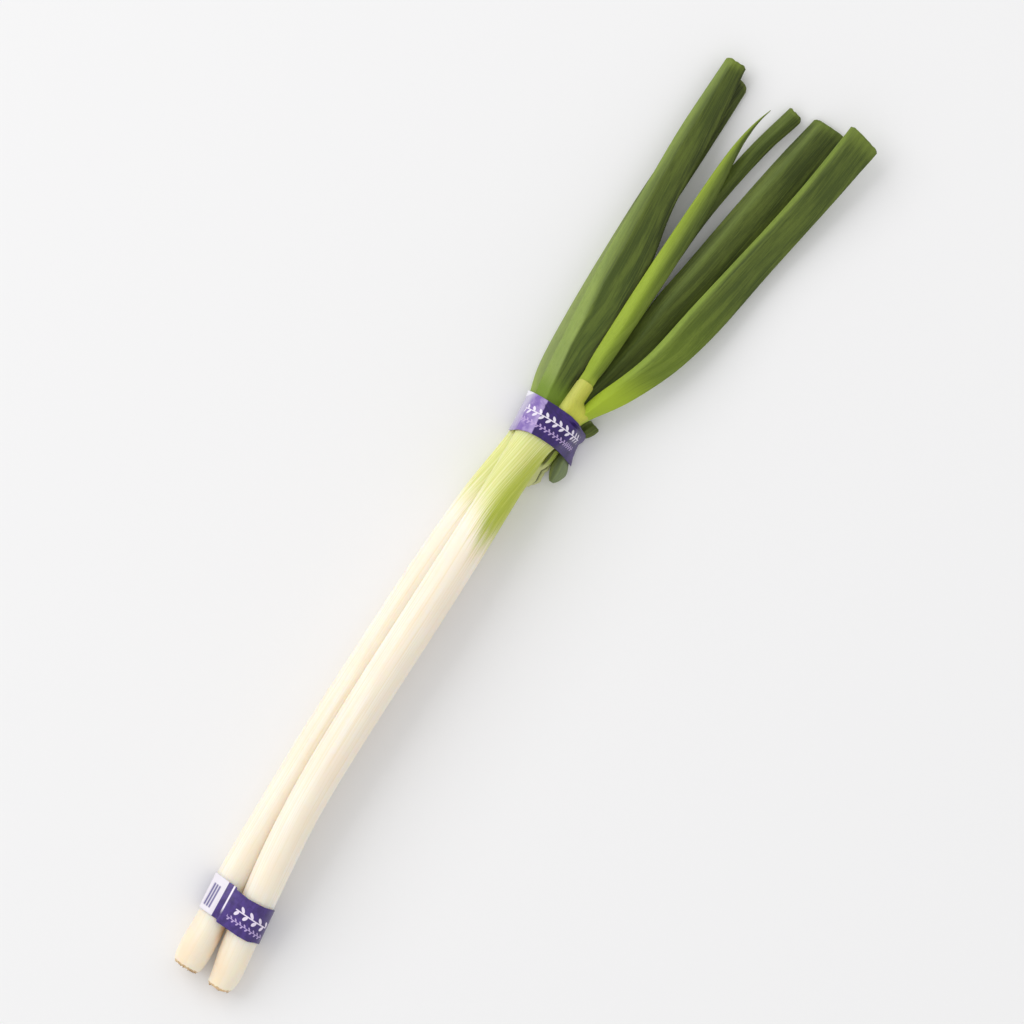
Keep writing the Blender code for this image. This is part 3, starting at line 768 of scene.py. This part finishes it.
def torn_sheath(material):
    """Dry outer sheath on the low side of the back stem: it comes from under the front stem, is torn along
    a crooked line, and its lower part hangs loose. Painted shadow darkens it just under the tear, where the
    lifted edge shades it, and where it goes under the front stem."""
    tear = ((22, 9.4), (24.5, 8.4), (27, 7.8), (30, 8.2), (33.5, 8.6),
            (36, 7.2), (38.5, 6.6), (42, 6.2), (47, 6.0))
    x = np.linspace(22.2, 47.2, 84)[:, None]
    down = np.linspace(0, 1, 24)[None]  # from the front stem to the loose edge; the tear is half way
    above = np.clip(down / 0.45, 0, 1)
    below = np.clip((down - 0.5) / 0.5, 0, 1)
    torn = down > 0.47
    hang = rise(x, 22, 29) * (1 - 0.6 * rise(x, 33, 41)) * 2.9
    first = 10.8 - 1.2 * rise(x, 34, 42)
    y = first + (steps(x, tear) - first) * above + 0.45 * torn - hang * np.sin(1.5 * below)
    y = y + 0.15 * np.sin(x * 1.7) * below
    z = 15.4 - 3.6 * above - 0.5 * torn - 8.2 * below + 0.4 * np.sin(x * 0.9) * below
    outer = np.stack([np.broadcast_to(x, y.shape), y, z], axis=2)
    grid = np.concatenate([outer, (outer + (0, 0.4, -0.2))[:, ::-1]], axis=1)
    zero = np.zeros(grid.shape[:2])
    # Painted shadow just under the tear, where its lifted edge shades the sheath
    dark = np.exp(-(((down - 0.565) / 0.085) ** 2)) * rise(x, 22, 24)
    # Painted shadow where the sheath goes under the front stem
    dark = np.maximum(dark, (1 - rise(down, 0.12, 0.24)) * rise(x, 34, 38))
    dark = np.concatenate([dark, np.zeros_like(dark)], axis=1)
    # The sheath's own green, towards the trimmed leaf
    green = rise(grid[:, :, 0] + 0.5 * (grid[:, :, 1] - 8), 35, 41)
    tube("torn_sheath", grid, {
        "skin": grid,
        "painted_light_and_green": green * (1 - dark),
        "far": dark,
        "foot": zero,
        "rim": zero,
        "painted_shade": zero,
    }, material, "stem_back")


def tape(node, wrapped, left, right, centre, stand, material,
         bend=0.0, lap=None, crease=None, bulge=None):
    """A band of printed film, taut round the pieces it wraps. Its edges swing back as it goes round.
    The lap is where its outer layer ends on the upper side, the crease is a fold along it, and the bulge
    is (height, place along, reach, place across, reach)."""
    slices = np.arange(min(v for _, v in left) - 1, max(v for _, v in right) + 1.5, 1.0)
    # A loop round the wrapped pieces at each slice, which the film follows between its edges
    loops = []
    for x in slices:
        near = [p[np.abs(p[:, 0] - x) < 2.6][:, 1:] for p in wrapped]
        loops.append(hull(np.concatenate(near), 0.0, TAPE_RING))
    loops = blurred(blurred(np.array(loops), 1), 2, axis=1)
    y_left = loops[np.abs(slices - left[LEFT_ENTRY][1]).argmin(), :, 0]
    y_right = loops[np.abs(slices - right[RIGHT_ENTRY][1] + RIGHT_INSET).argmin(), :, 0]
    share = np.linspace(0, 1, TAPE_ROWS)
    edge_left, edge_right = steps(y_left, left), steps(y_right, right)
    x = edge_left[None] + (edge_right - edge_left)[None] * share[:, None]
    grid = np.empty((TAPE_ROWS, TAPE_RING, 3))
    grid[:, :, 0] = x
    for j in range(TAPE_RING):
        for k in (0, 1):
            grid[:, j, k + 1] = np.interp(x[:, j], slices, loops[:, j, k])
    y = grid[:, :, 1]
    top = np.arange(TAPE_RING) < TAPE_RING / 2
    ahead = np.roll(grid, -1, axis=1) - np.roll(grid, 1, axis=1)
    normal = np.stack([np.zeros_like(y), -ahead[:, :, 2], ahead[:, :, 1]], axis=2)
    normal /= np.linalg.norm(normal, axis=2, keepdims=True)
    # How far the film stands out: crinkled, stepped at its lap, raised at its crease and its bulge
    round_tape = np.broadcast_to(np.linspace(0, 2 * np.pi, TAPE_RING), x.shape)
    out = stand + 0.10 * ripple(x / 3, round_tape, 81, 4.0, 7)
    if lap:
        below = LAP_STEP * (1 - rise(y, lap - 12, lap))
        out = out + np.where(top, LAP_STEP * (1 - rise(y, lap, lap + 0.25)), below)
    if crease:
        from_crease = (y - 0.13 * (x - centre) - crease) / 0.7
        out = out + np.where(top, CREASE_STEP * np.exp(-(from_crease**2)), 0)
    if bulge:
        height, at, reach, at_y, reach_y = bulge
        out = out + height * np.exp(-(((x - at) / reach) ** 2) - ((y - at_y) / reach_y) ** 2)
    outer = grid + normal * out[:, :, None]
    inner = grid + normal * (out[:, :, None] - FILM)
    shell = np.concatenate([outer, inner[::-1]]).transpose(1, 0, 2)
    arc = np.append(0, np.cumsum(np.linalg.norm(np.diff(outer[TAPE_ROWS // 2], axis=0), axis=1)))
    flat_y = np.concatenate([y, y[::-1]]).T
    around = np.broadcast_to(arc[:, None], flat_y.shape)
    tube(node + "_film", shell, {
        "skin": np.stack([shell[:, :, 0], around, flat_y], axis=2),
        "y": flat_y,
        "around": around,
        "column": shell[:, :, 0] + bend * (flat_y - 15) ** 2 - centre,
        "top": np.broadcast_to(top[:, None], flat_y.shape).astype(float),
    }, material, node, closed=True)


# ---------------------------------------------------------------- stage

def build_stage():
    """Plain pale floor and a bright room."""
    bpy.ops.mesh.primitive_plane_add(size=30, location=(0, 0, 0))
    floor = bpy.context.object
    floor.name = "floor"
    n = Nodes("floor_white", 0.9, 0.2)
    n.shader.inputs["Emission Color"].default_value = FLOOR_GLOW_COLOUR
    n.shader.inputs["Emission Strength"].default_value = FLOOR_GLOW
    n.finish(FLOOR_COLOUR)
    floor.data.materials.append(n.material)
    world = bpy.data.worlds.new("room")
    bpy.context.scene.world = world
    world.use_nodes = True
    world.node_tree.nodes["Background"].inputs["Color"].default_value = ROOM_COLOUR
    world.node_tree.nodes["Background"].inputs["Strength"].default_value = ROOM_LIGHT


def build_window():
    """The large soft light, facing the bundle."""
    data = bpy.data.lights.new("window", "AREA")
    data.shape = "RECTANGLE"
    data.size, data.size_y = WINDOW_SIZE
    data.energy = WINDOW_POWER
    light = bpy.data.objects.new("window", data)
    light.location = WINDOW_PLACE
    light.rotation_euler = (-Vector(WINDOW_PLACE)).to_track_quat("-Z", "Y").to_euler()
    bpy.context.scene.collection.objects.link(light)


def build_camera():
    """The camera straight above, far enough for the bundle's height not to show."""
    data = bpy.data.cameras.new("camera")
    data.lens = data.sensor_width / FRAME_WIDTH * CAMERA_HEIGHT
    data.clip_end = 50
    camera = bpy.data.objects.new("camera", data)
    camera.location = (*AIM, CAMERA_HEIGHT)
    camera.rotation_euler = (0, 0, CAMERA_TURN)
    bpy.context.scene.collection.objects.link(camera)
    bpy.context.scene.camera = camera


def build_leaves():
    """All seven leaves. Each material's colours are its body, tip, band of painted light, pale foot and cut
    edge.
    """
    green = leaf_material(
        "leaf_upper_green", (72, 88, 34), (68, 81, 31), (138, 157, 82), (116, 142, 46), (120, 136, 56))
    upper = leaf(
        "leaf_upper", green, 11, keen=0.8, spread=(2.6, 145, 206), keel=KEEL,
        ridge=((60, 0.1), (80, 0.25), (100, 0.42), (140, 0.44), (200, 0.42), (240, 0.36), (281, 0.3)),
        cut=(0.0, 1.0, 1.6, 0.6), rim_width=8.0, painted_light_and_green=(-0.1, 0.1, 9, 10), soften=(0.5, 100, 160),
        fade=(0.25, 130, 200), foot=(62, 92), far=(110, 190), shade=(0.1, 1.0, 0.6),
        # The painted shadow line along the low edge, beside the young leaf
        shadow_line=((66, 21.9), (110, 22.3), (150, 23.6), (170, 24.0)))
    green = leaf_material(
        "leaf_under_green", (142, 157, 94), (54, 63, 28), (156, 170, 106), (150, 170, 84), (92, 100, 46))
    under = leaf(
        "leaf_upper_under", green, 12, cut=(3.0, 2.5, 0.5, 0.5),
        foot=(62, 84), far=(140, 230))
    green = leaf_material(
        "leaf_young_lime", (120, 140, 40), (76, 91, 34), (160, 182, 58), (172, 190, 66), (150, 180, 60))
    leaf("leaf_young", green, 13, keen=0.3, widen=(80, 100, 4.4),
         keel=((105, 0.0), (130, 0.9), (225, 0.9), (245, 0.0)), cut=(0, 0, 0, 0), mouth=0.0,
         painted_light_and_green=(-0.45, 0.4, 9, 10), soften=(0.6, 125, 190), fade=(0.25, 140, 220), foot=(80, 100),
         far=(115, 195), shade=(0.1, 0.95, 0.35))
    green = leaf_material(
        "leaf_inner_green", (60, 72, 28), (66, 80, 30), (88, 103, 44), (110, 130, 50), (104, 118, 48))
    leaf("leaf_inner", green, 14, keen=0.6, keel=KEEL, cut=(2.0, 2.4, 0.6, 0.5),
         painted_light_and_green=(-0.1, 0.3, 9, 10), shade=(0.0, 0.9, 0.4))
    green = leaf_material(
        "leaf_middle_green", (78, 90, 38), (62, 74, 30), (98, 113, 54), (86, 98, 40), (100, 116, 48))
    middle = leaf(
        "leaf_middle", green, 15, keen=0.7, keel=KEEL, cut=(0.0, 1.2, 1.8, 0.6), rim_width=8.0,
        ridge=((60, 0.2), (110, 0.3), (180, 0.48), (230, 0.5), (280, 0.5)), painted_light_and_green=(-0.3, 0.02, 0.1, 0.4),
        shade=(-0.1, 0.95, 0.42))
    green = leaf_material(
        "leaf_lower_green", (99, 118, 36), (70, 84, 33), (138, 160, 64), (164, 186, 50), (108, 124, 52))
    lower = leaf(
        "leaf_lower", green, 16, keen=0.55, lean=0.2, keel=KEEL, cut=(0.0, 1.4, 1.4, 0.6),
        ridge=((60, 0.0), (100, 0.35), (150, 0.5), (285, 0.5)), rim_width=13.0, painted_light_and_green=(0.12, 0.34, 9, 10),
        fade=(0.4, 130, 210), foot=(72, 128), far=(115, 185))
    green = leaf_material(
        "leaf_trimmed_green", (124, 137, 104), (82, 94, 42), (138, 148, 96), (100, 112, 76), (120, 130, 70))
    trimmed = leaf(
        "leaf_trimmed", green, 17, keen=0.4, wavy=0.05, reach=1.2, spread=(0.9, 40, 45.5),
        cut=(2.6, 0.4, 0.4, 0.9), mouth=0.0, painted_light_and_green=(0.4, 0.85, 9, 10), far=(56, 64))
    return upper, under, middle, lower, trimmed


def main():
    bpy.context.scene.view_settings.view_transform = "Standard"
    build_stage()
    build_window()
    build_camera()
    skin, root = stem_material("stem_skin_cream"), root_material("root_brown")
    front, back = stem("stem_front", skin, 1), stem("stem_back", skin, 2)
    roots("stem_front", front, root, 31)
    roots("stem_back", back, root, 32)
    upper, under, middle, lower, trimmed = build_leaves()
    cuff = collar(leaf_material(
        "sheath_pale", (200, 200, 78), (204, 204, 88), (214, 216, 112), (226, 226, 140), (214, 216, 110)))
    # Its tip colour is the near black of the painted shadow lines, and its lighter colour is its own green
    torn_sheath(leaf_material(
        "torn_sheath_dry", (214, 216, 152), (60, 54, 22), (164, 180, 70), (196, 192, 142), (196, 192, 142),
        glow=0.2))
    # The neck tape wraps each piece only as far along as the piece is held
    held_to = ((front, math.inf), (back, math.inf), (upper, 68.5), (under, 68), (middle, 68.5),
               (lower, 68), (trimmed, 61.8), (cuff, 68.5))
    at_neck = [grid[grid[:, :, 0] < limit] for grid, limit in held_to]
    tape("tape_neck", at_neck, NECK_LEFT, NECK_RIGHT, NECK_CENTRE, NECK_STAND,
         neck_film_material("tape_neck_film"), bend=NECK_BEND, crease=NECK_CREASE, bulge=NECK_BULGE)
    at_root = [grid.reshape(-1, 3) for grid in (front, back)]
    tape("tape_root", at_root, ROOT_LEFT, ROOT_RIGHT, ROOT_CENTRE, ROOT_STAND,
         root_film_material("tape_root_film"), lap=ROOT_LAP)


main()
